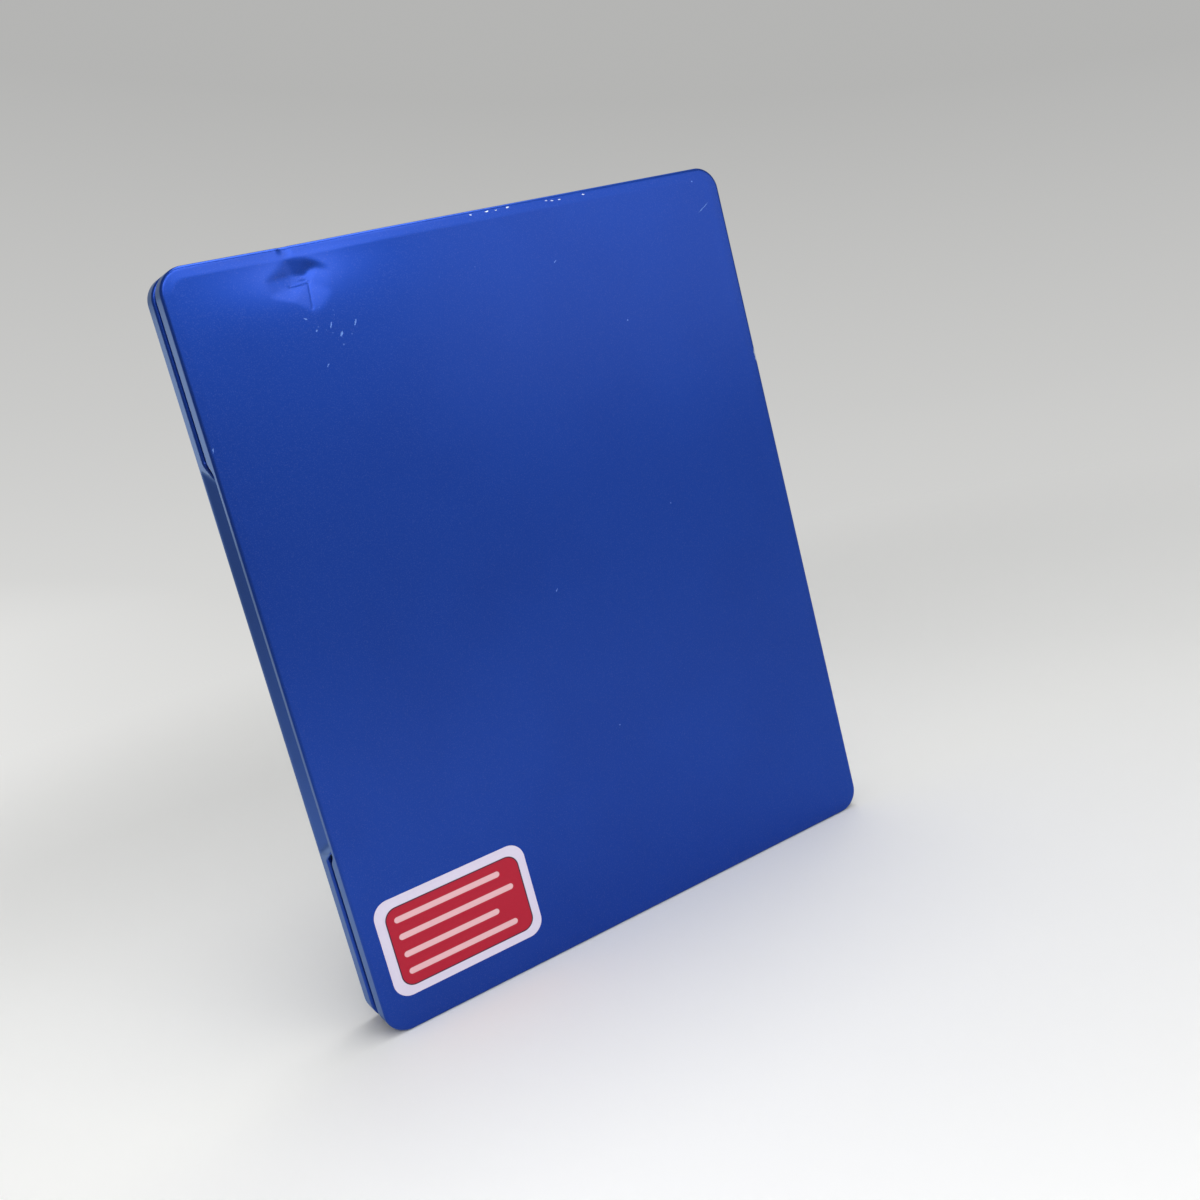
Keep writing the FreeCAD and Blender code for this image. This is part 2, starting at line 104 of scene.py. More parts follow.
# Dent in the back cover: places on the face and how deep each lies
DENT_POINTS = {
    "crown_left": (-43.4, 166.3, 0.0),
    "crown": (-41.5, 167.5, 0.0),
    "crown_middle": (-37.7, 166.8, 0.0),
    "crown_right": (-35.2, 165.6, 0.0),
    "tail": (-33.2, 163.9, 0.0),
    "valley_left": (-43.2, 164.9, 0.12),
    "valley": (-41.2, 163.8, 0.64),
    "valley_middle": (-38.3, 163.3, 0.80),
    "valley_right": (-37.6, 164.3, 0.62),
    "valley_tail": (-35.4, 164.7, 0.22),
    "node": (-38.2, 162.0, 0.44),
    "wedge_foot": (-42.6, 161.7, 0.36),
    "side": (-47.2, 163.4, 0.0),
    "side_low": (-46.8, 160.4, 0.0),
    "foot_left": (-42.6, 158.6, 0.0),
    "foot": (-38.8, 155.5, 0.0),
    "foot_right": (-36.2, 156.8, 0.0),
    "right_low": (-34.0, 159.3, 0.0),
    "right": (-33.6, 161.9, 0.0),
}
DENT_FACETS = (
    ("crown_left", "crown", "valley_left"),
    ("crown", "valley", "valley_left"),
    ("crown", "crown_middle", "valley"),
    ("crown_middle", "valley_middle", "valley"),
    ("crown_middle", "valley_right", "valley_middle"),
    ("crown_middle", "crown_right", "valley_right"),
    ("crown_right", "valley_tail", "valley_right"),
    ("crown_right", "tail", "valley_tail"),
    ("side", "crown_left", "valley_left"),
    ("side", "valley_left", "valley"),
    ("side", "valley", "wedge_foot"),
    ("side", "wedge_foot", "side_low"),
    ("valley", "valley_middle", "wedge_foot"),
    ("valley_middle", "node", "wedge_foot"),
    ("wedge_foot", "node", "foot_left"),
    ("side_low", "wedge_foot", "foot_left"),
    ("node", "foot", "foot_left"),
    ("valley_middle", "valley_right", "node"),
    ("valley_right", "valley_tail", "node"),
    ("valley_tail", "right", "node"),
    ("valley_tail", "tail", "right"),
    ("node", "right", "right_low"),
    ("node", "right_low", "foot_right"),
    ("node", "foot_right", "foot"),
)
FACET_SLACK = 1e-9
DENT_SCALE = 0.9
DENT_BLURS = (0.35, 0.75)
DENT_BLUR_TAPS = 8
DENT_MIDDLE = (-39.5, 161.5)
DENT_HALF = (8.0, 8.0)
DENT_FADE_LEVEL = 4.5
DENT_FADE_RISE = 2.5
CREASES = (((-38.2, 162.0), (-39.0, 156.6)), ((-42.4, 161.7), (-38.2, 162.0)))
CREASE_DEPTH = 0.055
CREASE_WIDTH = 0.22
DISH_DEPTH = 1.1
DISH_PLACE = (-40.1, 170.0)
DISH_REACH = (15.0, 8.0)
NICK_X = -41.3
NICK_FLAT = 0.3
NICK_SIDE = 1.6
NICK_DEPTH = 0.22
NICK_DROP = 0.2
NICK_REACH = 1.6

# Spine strip
STRIP_X = (67.3, 67.6)
STRIP_HALF = 4.6
STRIP_ENDS = (6.0, 164.0)
STRIP_CORNER = 1.0
STRIP_EDGE = 0.1
STRIP_EDGE_PART = 0.3

# Worn places on the back cover: x, z, half length, half width, angle in degrees
CHIPS = (
    (1.3, 169.05, 0.32, 0.15, 0),
    (5.3, 169.1, 0.5, 0.15, 4),
    (7.6, 169.05, 0.3, 0.13, 0),
    (10.6, 169.15, 0.45, 0.16, 0),
    (20.5, 169.0, 0.4, 0.10, 0),
    (22.0, 168.8, 0.45, 0.12, 0),
    (23.9, 168.7, 0.35, 0.13, 0),
    (30.4, 168.85, 0.5, 0.12, 0),
    (67.6, 122.8, 1.9, 0.3, 90),
)
SPECKS = (
    (-67.15, 133.35, 0.6, 0.12, 75),
    (-41.2, 154.7, 0.45, 0.12, -30),
    (-36.3, 152.4, 0.8, 0.14, 65),
    (-31.0, 151.9, 0.8, 0.16, 60),
    (-34.6, 150.2, 0.7, 0.25, 60),
    (-39.6, 151.9, 0.35, 0.14, 30),
    (-39.3, 144.5, 0.5, 0.14, 50),
    (62.2, 160.5, 2.1, 0.07, 31),
    (60.6, 167.0, 0.2, 0.14, 0),
    (18.9, 155.4, 0.45, 0.10, 40),
    (33.9, 138.7, 0.22, 0.15, 0),
    (33.4, 93.9, 0.2, 0.14, 0),
    (5.1, 46.7, 0.2, 0.14, 0),
    (-1.8, 82.9, 0.5, 0.12, 45),
)
MARK_JITTER = 0.5
MARK_JITTER_NOISE = (4.0, 3.0)
MARK_THROUGH = 4.0
MARK_EDGE = (1.05, 0.65)
NOISE_MIDDLE = (0.5, 0.5, 0.5)
SCUFF_PLACE = (-35.6, -7.5, 151.4)
SCUFF_REACH = 7.0
SCUFF_CORE = 0.35

# Sticker
RED_MIDDLE = (-45.5, 18.85)
RED_HALF = (16.25, 9.1)
RED_CORNER = 2.7
LINE_WIDTH = 0.28
PRINT_EDGE = 0.08
BAR_LEFT = -60.0
BAR_HALF_HEIGHT = 0.72
BAR_EDGE = (0.05, -0.1)
BARS = ((25.15, 26.0), (21.1, 28.4), (16.9, 23.6), (12.85, 27.2))

# Colours, as linear light
BLUE = (0.0105, 0.055, 0.37)
BLUE_DEEP = (0.0100, 0.052, 0.355)
EDGE_TINT = (0.62, 0.88, 1.0)
STEEL = (0.56, 0.63, 0.80)
SPECK = (0.18, 0.34, 0.80)
PLASTIC = (0.012, 0.040, 0.185)
PLASTIC_PALE = (0.018, 0.052, 0.225)
RED = (0.425, 0.0045, 0.026)
RED_DULL = (0.38, 0.004, 0.023)
RED_DARK = (0.05, 0.006, 0.030)
LILAC = (0.68, 0.63, 0.765)
LILAC_DULL = (0.64, 0.59, 0.725)
BAR_COLOUR = (0.82, 0.52, 0.55)

# Finishes. Noise: scale per millimetre and detail. Specks: scale and size. Relief: depth and strength.
LACQUER_DRIFT = (0.03, 2.0)
LACQUER_DRIFT_RANGE = (0.35, 0.65)
LACQUER_GRAIN = (4.5, 3.0)
LACQUER_FLAKE = (7.0, 1.0)
LACQUER_WAVE = (0.35, 2.0)
LACQUER_ROUGHNESS = (0.33, 0.43)
LACQUER_METALLIC = 0.95
COAT_WEIGHT = 0.2
COAT_ROUGHNESS = 0.2
SPARKLE_RANGE = (0.5, 0.75)
SPARKLE_SHARE = 0.04
WAVE_RELIEF = (0.006, 0.3)
FLAKE_RELIEF = (0.004, 0.55)
MARK_RELIEF = (-0.03, 0.6)
LACQUER_DUST = (0.13, 0.13)
LACQUER_DUST_SHARE = 0.5
CLUSTER = (0.75, 0.26)
CLUSTER_SHARE = 0.55
SPECK_SHARE = 0.75
SPECK_CORE = 0.4
SPECK_CHOICE = (0.62, 0.7)
PLASTIC_DRIFT = (0.05, 2.0)
PLASTIC_GRAIN = (4.0, 2.0)
PLASTIC_RELIEF = (0.02, 0.5)
PLASTIC_ROUGHNESS = (0.34, 0.5)
PLASTIC_DUST = (0.2, 0.1)
PLASTIC_DUST_SHARE = 0.3
STICKER_FIBRE = (1.6, 4.0)
STICKER_RELIEF = (0.015, 0.3)
STICKER_ROUGHNESS = (0.34, 0.48)
STICKER_SHINE = 0.3
BAR_SHARE = 0.85

# Sockets that mix colours: share, first and second colour, and the result
MIX_INPUTS = (0, 6, 7)
MIX_RESULT = 2

# Camera, as seen in a frame 1200 pixels wide; it sees nothing nearer than CAMERA_NEAR, in metres
CAMERA_PLACE = (-126.764, -283.092, 137.877)
CAMERA_RIGHT = (0.8270955, -0.50921615, -0.23793263)
CAMERA_DOWN = (-0.29981442, -0.04164115, -0.95308831)
CAMERA_AHEAD = (0.47542018, 0.85963069, -0.18711156)
CAMERA_LENS = 39.652
CAMERA_SENSOR = 36.0
CAMERA_SHIFT = (-0.05, -0.02083)
CAMERA_NEAR = 0.01

# Sweep of paper and lamps, in metres. Each lamp: name, place, width and height, radiance.
STAGE_RADIUS = 1.0
STAGE_BEND = 0.6
STAGE_BEND_STEPS = 12
STAGE_HEIGHT = 2.2
STAGE_STEPS = 96
STAGE_MERGE = 1e-5
AIM = (0.0, 0.0, 0.09)
LAMPS = (
    ("overhead", (0.12, -0.03, 0.85), (0.75, 0.4), 4.1),
    ("front_box", (-0.05, -0.85, 0.57), (1.0, 0.36), 4.1),
    ("rim_box", (-0.38, 1.1, 0.14), (0.35, 0.26), 0.8),
    ("side_box", (0.75, -1.0, 0.28), (0.7, 0.4), 1.4),
)
WORLD_COLOUR = (0.97, 0.98, 1.0)
WORLD_STRENGTH = 0.33

# Paper, with painted shade: its greys along the fade, and how the fade grows with the place, also to the
# left and in front
PAPER = (0.92, 0.92, 0.91)
PAPER_BLUE_PART = 0.985
PAINTED_SHADE_GREYS = (
    (0.015, 0.93), (0.0225, 0.88), (0.029, 0.83), (0.0375, 0.79), (0.05, 0.75),
    (0.0655, 0.71), (0.0795, 0.67), (0.133, 0.63), (0.2045, 0.59), (0.367, 0.52),
    (0.492, 0.46), (0.75, 0.46), (1.0, 0.36),
)
PAPER_NEW_STOP = 0.5
PAPER_FALL = (0.3, 0.15, 1.0)
PAPER_LIMIT = (10.0, 0.25, 10.0)
PAPER_REACH = (-0.06, 1.54)
PAPER_BLEND = (0.2, 0.5)
PAPER_TURN = (-1.0, -1.0, 0.0)
PAPER_NEAR = (0.2, 0.24, 0.0)
PAPER_FAR_FALL = (5.0, 2.2, 0.0)
NO_DISTANCE = (0.0, 0.0, 0.0)


def smooth_step(value):
    """Ease from 0 to 1."""
    value = min(max(value, 0.0), 1.0)
    return value * value * (3.0 - 2.0 * value)


def spread(first, last, step):
    """Even places from first up to, not including, last."""
    count = max(1, round((last - first) / step))
    return [first + (last - first) * index / count for index in range(count)]


def band_places(bands):
    """Places along bands that follow each other, with the end of the last."""
    found = []
    for first, last, step in bands:
        found += spread(first, last, step)
    return found + [bands[-1][1]]


def soft_least(values, softness):
    """Least of some values, with the change from one to another rounded."""
    total = sum(math.exp(-value / softness) for value in values)
    return -softness * math.log(total)


def between(z, mids, blend):
    """1 between two places on the opening edge and 0 outside them, with eased ends."""
    low, high = mids
    rise = smooth_step((z - low) / blend + 0.5)
    fall = smooth_step((high - z) / blend + 0.5)
    return rise * fall


def facet_depth(x, z):
    """Depth of the dent's facets at one point."""
    for names in DENT_FACETS:
        (ax, az, ah), (bx, bz, bh), (cx, cz, ch) = (DENT_POINTS[name] for name in names)
        area = (bx - ax) * (cz - az) - (cx - ax) * (bz - az)
        second = ((x - ax) * (cz - az) - (cx - ax) * (z - az)) / area
        third = ((bx - ax) * (z - az) - (x - ax) * (bz - az)) / area
        first = 1.0 - second - third
        if min(first, second, third) >= -FACET_SLACK:
            return first * ah + second * bh + third * ch
    return 0.0


def crease_distance(x, z, start, end):
    """Distance from a crease between two points."""
    run = Vector(end) - Vector(start)
    share = (Vector((x, z)) - Vector(start)).dot(run) / run.length_squared
    nearest = Vector(start) + run * min(max(share, 0.0), 1.0)
    return (Vector((x, z)) - nearest).length


def dent_depth(x, z):
    """Depth of the creased dent, and of the shallow dish round it."""
    across = (x - DISH_PLACE[0]) / DISH_REACH[0]
    up = (z - DISH_PLACE[1]) / DISH_REACH[1]
    depth = DISH_DEPTH * math.exp(-across * across - up * up)
    if abs(x - DENT_MIDDLE[0]) > DENT_HALF[0] or abs(z - DENT_MIDDLE[1]) > DENT_HALF[1]:
        return depth
    facets = [facet_depth(x, z)]
    for blur in DENT_BLURS:
        for index in range(DENT_BLUR_TAPS):
            angle = 2.0 * math.pi * index / DENT_BLUR_TAPS
            facets.append(facet_depth(x + blur * math.cos(angle), z + blur * math.sin(angle)))
    depth += DENT_SCALE * sum(facets) / len(facets)
    for start, end in CREASES:
        away = crease_distance(x, z, start, end) / CREASE_WIDTH
        depth += CREASE_DEPTH * math.exp(-away * away)
    return depth


def nick_push(x, level, z):
    """How far the kink presses the upper edge in and down."""
    away = (abs(x - NICK_X) - NICK_FLAT) / NICK_SIDE
    reach = math.hypot(FACE_LEVEL - level, HEIGHT - z) / NICK_REACH
    return NICK_DEPTH * (1.0 - smooth_step(away)) * math.exp(-reach * reach)


def dented(x, level, z):
    """Move one point of the back cover as the blow did."""
    near_face = smooth_step((level - DENT_FADE_LEVEL) / DENT_FADE_RISE)
    push = nick_push(x, level, z)
    return x, level - near_face * dent_depth(x, z) - push, z - NICK_DROP * push


def untouched(x, level, z):
    """A point of a cover with no dent stays where it is."""
    return x, level, z


def scoop_inset(z, level):
    """How far the opening wall of the front cover slants in at the tongue."""
    slant = (SCOOP_LEVEL - level) / (SCOOP_LEVEL - TONGUE_LEVEL)
    skew = SCOOP_SKEW * (SCOOP_LEVEL - level)
    ends = ((z - SCOOP_ENDS[0] - skew) / SCOOP_RAMP, (SCOOP_ENDS[1] - skew - z) / SCOOP_RAMP)
    share = soft_least((slant, *ends, 1.0), SCOOP_SOFTNESS / SCOOP_INSET)
    return SCOOP_INSET * max(share, 0.0)


def cover_rows(fine):
    """Heights of the rows of the flat face."""
    turn = [math.radians(QUARTER_TURN * index / CORNER_STEPS) for index in range(CORNER_STEPS)]
    low = [ROLL_INSET + FACE_CORNER * (1.0 - math.cos(angle)) for angle in turn]
    high = [HEIGHT - z for z in reversed(low)]
    return low + band_places((*ROW_BANDS, TOP_ROWS_FINE if fine else TOP_ROWS_PLAIN)) + high


def row_half(z):
    """Half the width of the flat face at a height, between its rounded corners."""
    past = max(CORNER_RADIUS - z, z - FACE_TOP, 0.0)
    return FACE_END + math.sqrt(max(FACE_CORNER * FACE_CORNER - past * past, 0.0))


def face_x(x, z):
    """Place of a column on the flat face at a height."""
    return x / FACE_END * row_half(z)


def outward(x, z):
    """Direction away from the face at a side point of its border."""
    centre_x = math.copysign(FACE_END, x)
    centre_z = min(max(z, CORNER_RADIUS), FACE_TOP)
    return Vector((x - centre_x, z - centre_z)).normalized()


def ramp_share(side, opening, z):
    """How far the rim has gone over to the tongue or the notch at a height."""
    if not opening:
        return 0.0
    if side == FRONT:
        return between(z, TONGUE_MIDS, TONGUE_BLEND)
    return between(z, NOTCH_MIDS, NOTCH_BLEND)


def rim_level(side, share):
    """Level of the rim, which comes down at the tongue and goes back at the notch."""
    other = TONGUE_LEVEL if side == FRONT else NOTCH_LEVEL
    return RIM_LEVEL + (other - RIM_LEVEL) * share


def flange_width(share):
    """How far the rim is turned in, least where it ramps."""
    return FLANGE - (FLANGE - FLANGE_LEAST) * 4.0 * share * (1.0 - share)


def roll_drop(along):
    """How far the sloping band round the face has dropped, by the distance along it."""
    if along < ROLL_SOFT:
        return ROLL_SLOPE * along * along / (2.0 * ROLL_SOFT)
    return ROLL_SLOPE * (along - ROLL_SOFT / 2.0)


def edge_profile():
    """Inset and level from the flat face over the sloping band and round the edge to the wall."""
    profile = []
    width = ROLL_INSET - EDGE_RADIUS
    for index in range(1, ROLL_STEPS):
        along = width * index / ROLL_STEPS
        profile.append((ROLL_INSET - along, FACE_LEVEL - roll_drop(along)))
    start = math.atan(ROLL_SLOPE)
    for index in range(EDGE_STEPS + 1):
        angle = start + (math.pi / 2.0 - start) * index / EDGE_STEPS
        profile.append((EDGE_RADIUS * (1.0 - math.sin(angle)), WALL_TOP + EDGE_RADIUS * math.cos(angle)))
    return profile


def wall_profile(rim, flange, steps):
    """Inset and level down the wall, round the rim and along the flange."""
    foot = rim + RIM_RADIUS
    profile = [(0.0, WALL_TOP + (foot - WALL_TOP) * index / steps) for index in range(1, steps + 1)]
    for index in range(1, RIM_STEPS + 1):
        angle = math.radians(QUARTER_TURN * index / RIM_STEPS)
        profile.append((RIM_RADIUS * (1.0 - math.cos(angle)), foot - RIM_RADIUS * math.sin(angle)))
    return profile + [((RIM_RADIUS + flange) / 2.0, rim), (flange, rim)]


def border(rows, columns):
    """Face points round the border: row, column, direction out, and the edge that each is on."""
    last_row = len(rows) - 1
    last_column = len(columns) - 1
    points = [(0, column, Vector((0, -1)), "low") for column in range(last_column + 1)]
    for row in range(1, last_row):
        points.append((row, last_column, outward(row_half(rows[row]), rows[row]), "spine"))
    points += [(last_row, column, Vector((0, 1)), "top") for column in range(last_column, -1, -1)]
    for row in range(last_row - 1, 0, -1):
        points.append((row, 0, outward(-row_half(rows[row]), rows[row]), "opening"))
    return points


def strip_places(side, wall_steps, x, z, out, edge):
    """Places from a border point of the face over the edge and, but at the spine, down the wall."""
    opening = edge == "opening"
    profile = edge_profile()
    if edge != "spine":
        share = ramp_share(side, opening, z)
        profile += wall_profile(rim_level(side, share), flange_width(share), wall_steps)
    for inset, level in profile:
        if opening and side == FRONT:
            inset += scoop_inset(z, level) * abs(out.x)
        if edge == "spine":
            inset = max(inset, SPINE_TRIM)
        reach = ROLL_INSET - inset
        yield x + out.x * reach, level, z + out.y * reach


def bridge(mesh, one, two):
    """Faces between two neighbouring rows of points."""
    for index in range(min(len(one), len(two)) - 1):
        mesh.faces.new((one[index], one[index + 1], two[index + 1], two[index]))


def cover_skin(side, fine, wall_steps, move):
    """Outside skin of one pressed cover as a grid of faces."""
    mesh = bmesh.new()
    rows = cover_rows(fine)
    columns = band_places(COLUMNS_FINE if fine else COLUMNS_PLAIN)

    def vertex(x, level, z):
        x, level, z = move(x, level, z)
        return mesh.verts.new((x * MM, side * level * MM, z * MM))

    face = [[vertex(face_x(x, z), FACE_LEVEL, z) for x in columns] for z in rows]
    for low, high in zip(face, face[1:]):
        bridge(mesh, low, high)
    strips = []
    for row, column, out, edge in border(rows, columns):
        z = rows[row]
        places = strip_places(side, wall_steps, face_x(columns[column], z), z, out, edge)
        strips.append([face[row][column]] + [vertex(*place) for place in places])
    for one, two in zip(strips, strips[1:] + strips[:1]):
        bridge(mesh, one, two)
    if side == FRONT:
        bmesh.ops.reverse_faces(mesh, faces=mesh.faces)
    return mesh


def linked_object(name, data):
    """Object made of some data, put into the scene."""
    thing = bpy.data.objects.new(name, data)
    bpy.context.scene.collection.objects.link(thing)
    return thing


def mesh_object(name, mesh, material):
    """Smooth object made of a mesh, in one material."""
    data = bpy.data.meshes.new(name)
    mesh.to_mesh(data)
    mesh.free()
    data.shade_smooth()
    data.materials.append(material)
    return linked_object(name, data)


def finish_piece(name, mesh, body, node, material):
    """Turn a mesh into a piece that rides on a body and stands for a node."""
    piece = mesh_object(name, mesh, material)
    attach(piece, body)
    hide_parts(node)
    return piece


def crisp_edges(piece):
    """Keep the cut edges of a piece sharp."""
    edges = piece.modifiers.new("edges", "EDGE_SPLIT")
    edges.split_angle = math.radians(CRISP_ANGLE)


def make_cover(name, side, fine, wall_steps, move, body, node, material):
    """One steel cover: its skin, the thickness of the sheet and crisp cut edges."""
    mesh = cover_skin(side, fine, wall_steps, move)
    piece = finish_piece(name, mesh, body, node, material)
    sheet = piece.modifiers.new("sheet", "SOLIDIFY")
    sheet.thickness = GAUGE * MM
    sheet.offset = -1.0
    sheet.use_even_offset = True
    crisp_edges(piece)


def strip_loop(mesh, x, inset):
    """Rounded outline of the spine strip at one depth."""
    radius = STRIP_CORNER - inset
    half = STRIP_HALF - inset
    low = STRIP_ENDS[0] + inset
    high = STRIP_ENDS[1] - inset
    loop = []
    corners = ((half, high, 0), (-half, high, 90), (-half, low, 180), (half, low, 270))
    for y, z, start in corners:
        centre_y = y - math.copysign(radius, y)
        centre_z = z - radius if z == high else z + radius
        for index in range(CORNER_STEPS + 1):
            angle = math.radians(start + QUARTER_TURN * index / CORNER_STEPS)
            place = (x, centre_y + radius * math.cos(angle), centre_z + radius * math.sin(angle))
            loop.append(mesh.verts.new(Vector(place) * MM))
    return loop


def make_strip(material):
    """Flat steel strip along the spine, with its edges broken."""
    mesh = bmesh.new()
    inner, outer = STRIP_X
    part = STRIP_EDGE * STRIP_EDGE_PART
    loops = [
        strip_loop(mesh, inner, 0.0),
        strip_loop(mesh, outer - STRIP_EDGE, 0.0),
        strip_loop(mesh, outer - part, part),
        strip_loop(mesh, outer, STRIP_EDGE),
    ]
    for one, two in zip(loops, loops[1:]):
        bridge(mesh, one + one[:1], two + two[:1])
    mesh.faces.new(loops[-1])
    mesh.faces.new(list(reversed(loops[0])))
    piece = finish_piece("spine_strip", mesh, "spine", "spine_cover", material)
    crisp_edges(piece)


def plug(tree, socket, item):
    """Set an input to a value, or link it to another node's output."""
    if isinstance(item, bpy.types.NodeSocket):
        tree.links.new(item, socket)
    elif hasattr(item, "__len__") and len(item) == 3 and socket.type == "RGBA":
        socket.default_value = (*item, 1.0)
    else:
        socket.default_value = item


def add(tree, kind, inputs, **settings):
    """Add a node with its settings and inputs."""
    node = tree.nodes.new(kind)
    for name, item in settings.items():
        setattr(node, name, item)
    for name, item in inputs.items():
        plug(tree, node.inputs[name], item)
    return node


def calc(tree, operation, *items):
    """Result of one sum of numbers."""
    return add(tree, "ShaderNodeMath", dict(enumerate(items)), operation=operation).outputs[0]


def vector_calc(tree, operation, *items, output="Vector"):
    """Result of one sum of vectors."""
    node = add(tree, "ShaderNodeVectorMath", dict(enumerate(items)), operation=operation)
    return node.outputs[output]


def measure(tree, operation, *items):
    """Number that comes of one sum of vectors."""
    return vector_calc(tree, operation, *items, output="Value")


def scaled(tree, item, factor):
    """Vector times a number."""
    inputs = {0: item, "Scale": factor}
    return add(tree, "ShaderNodeVectorMath", inputs, operation="SCALE").outputs["Vector"]


def least(tree, items):
    """Least of several values."""
    lowest = items[0]
    for item in items[1:]:
        lowest = calc(tree, "MINIMUM", lowest, item)
    return lowest


def ramp(tree, item, low, high):
    """Ease a value from 0 at low to 1 at high."""
    inputs = {"Value": item, "From Min": low, "From Max": high}
    node = add(tree, "ShaderNodeMapRange", inputs, interpolation_type="SMOOTHSTEP")
    return node.outputs["Result"]


def span(tree, item, low, high):
    """Bring a value between 0 and 1 into a range."""
    inputs = {"Value": item, "To Min": low, "To Max": high}
    return add(tree, "ShaderNodeMapRange", inputs).outputs["Result"]


def blend(tree, share, first, second):
    """Mix two colours."""
    node = add(tree, "ShaderNodeMix", {}, data_type="RGBA")
    for index, item in zip(MIX_INPUTS, (share, first, second)):
        plug(tree, node.inputs[index], item)
    return node.outputs[MIX_RESULT]


def noise(tree, place, scale, detail, output="Fac"):
    """Soft noise of a given scale per millimetre."""
    inputs = {"Vector": place, "Scale": scale, "Detail": detail}
    return add(tree, "ShaderNodeTexNoise", inputs).outputs[output]


def millimetres(tree):
    """Place on the piece, in millimetres."""
    coordinates = add(tree, "ShaderNodeTexCoord", {})
    return scaled(tree, coordinates.outputs["Object"], 1.0 / MM)


def new_material(name):
    """Empty material with its node tree."""
    material = bpy.data.materials.new(name)
    material.use_nodes = True
    material.node_tree.nodes.clear()
    return material, material.node_tree


def surface(tree, **inputs):
    """Give the material its shader."""
    names = {key.replace("_", " "): item for key, item in inputs.items()}
    shader = add(tree, "ShaderNodeBsdfPrincipled", names)
    add(tree, "ShaderNodeOutputMaterial", {"Surface": shader.outputs["BSDF"]})


def bump(tree, height, distance, strength, normal=None):
    """Fine relief, in millimetres."""
    inputs = {"Height": height, "Distance": distance * MM, "Strength": strength}
    if normal is not None:
        inputs["Normal"] = normal
    return add(tree, "ShaderNodeBump", inputs).outputs["Normal"]


def mark_mask(tree, place, marks):
    """1 inside any of a list of small worn places."""
    jitter = noise(tree, place, *MARK_JITTER_NOISE, "Color")
    shift = vector_calc(tree, "SUBTRACT", jitter, NOISE_MIDDLE)
    rough_place = vector_calc(tree, "ADD", place, scaled(tree, shift, MARK_JITTER))
    lengths = []
    for x, z, long, short, angle in marks:
        inputs = {
            "Vector": rough_place,
            "Location": (x, -FACE_LEVEL, z),
            "Rotation": (0.0, -math.radians(angle), 0.0),
            "Scale": (long, MARK_THROUGH, short),
        }
        local = add(tree, "ShaderNodeMapping", inputs, vector_type="TEXTURE").outputs[0]
        lengths.append(measure(tree, "LENGTH", local))
    return ramp(tree, least(tree, lengths), *MARK_EDGE)


def speck_mask(tree, place, scale, size):
    """1 on a few scattered small specks."""
    cells = add(tree, "ShaderNodeTexVoronoi", {"Vector": place, "Scale": scale})
    near = ramp(tree, cells.outputs["Distance"], size * scale, size * scale * SPECK_CORE)
    chosen = add(tree, "ShaderNodeSeparateColor", {"Color": cells.outputs["Color"]}).outputs[0]
    return calc(tree, "MULTIPLY", near, ramp(tree, chosen, *SPECK_CHOICE))


def dusted(tree, place, colour, dust, share):
    """Colour with a few pale specks of dust."""
    mask = calc(tree, "MULTIPLY", speck_mask(tree, place, *dust), share)
    return blend(tree, mask, colour, SPECK)


def with_wear(tree, place, colour, relief):
    """Colour and relief with the specks near the dent and the bare chips along the edges."""
    away = measure(tree, "DISTANCE", place, SCUFF_PLACE)
    near_dent = ramp(tree, away, SCUFF_REACH, SCUFF_REACH * SCUFF_CORE)
    cluster = calc(tree, "MULTIPLY", speck_mask(tree, place, *CLUSTER), near_dent)
    cluster = calc(tree, "MULTIPLY", cluster, CLUSTER_SHARE)
    specks = calc(tree, "MAXIMUM", mark_mask(tree, place, SPECKS), cluster)
    chips = mark_mask(tree, place, CHIPS)
    colour = blend(tree, calc(tree, "MULTIPLY", specks, SPECK_SHARE), colour, SPECK)
    colour = blend(tree, chips, colour, STEEL)
    relief = bump(tree, calc(tree, "MAXIMUM", specks, chips), *MARK_RELIEF, relief)
    return colour, relief


def make_lacquer(name, worn):
    """Satin blue lacquer over steel, with fine grain, dust, and bare chips where it is worn."""
    material, tree = new_material(name)
    place = millimetres(tree)
    grain = noise(tree, place, *LACQUER_GRAIN)
    drift = ramp(tree, noise(tree, place, *LACQUER_DRIFT), *LACQUER_DRIFT_RANGE)
    colour = blend(tree, drift, BLUE_DEEP, BLUE)
    sparkle = calc(tree, "MULTIPLY", ramp(tree, grain, *SPARKLE_RANGE), SPARKLE_SHARE)
    colour = blend(tree, sparkle, colour, STEEL)
    colour = dusted(tree, place, colour, LACQUER_DUST, LACQUER_DUST_SHARE)
    relief = bump(tree, noise(tree, place, *LACQUER_WAVE), *WAVE_RELIEF)
    relief = bump(tree, noise(tree, place, *LACQUER_FLAKE), *FLAKE_RELIEF, relief)
    if worn:
        colour, relief = with_wear(tree, place, colour, relief)
    roughness = span(tree, grain, *LACQUER_ROUGHNESS)
    surface(tree, Base_Color=colour, Metallic=LACQUER_METALLIC, Roughness=roughness, Normal=relief,
            Specular_Tint=EDGE_TINT, Coat_Weight=COAT_WEIGHT, Coat_Roughness=COAT_ROUGHNESS)
    return material


def make_plastic():
    """Moulded blue plastic with a fine spark-eroded texture."""
    material, tree = new_material("moulded_plastic")
    place = millimetres(tree)
    grain = noise(tree, place, *PLASTIC_GRAIN)
    colour = blend(tree, noise(tree, place, *PLASTIC_DRIFT), PLASTIC, PLASTIC_PALE)
    colour = dusted(tree, place, colour, PLASTIC_DUST, PLASTIC_DUST_SHARE)
    roughness = span(tree, grain, *PLASTIC_ROUGHNESS)
    surface(tree, Base_Color=colour, Roughness=roughness, Normal=bump(tree, grain, *PLASTIC_RELIEF))
    return material


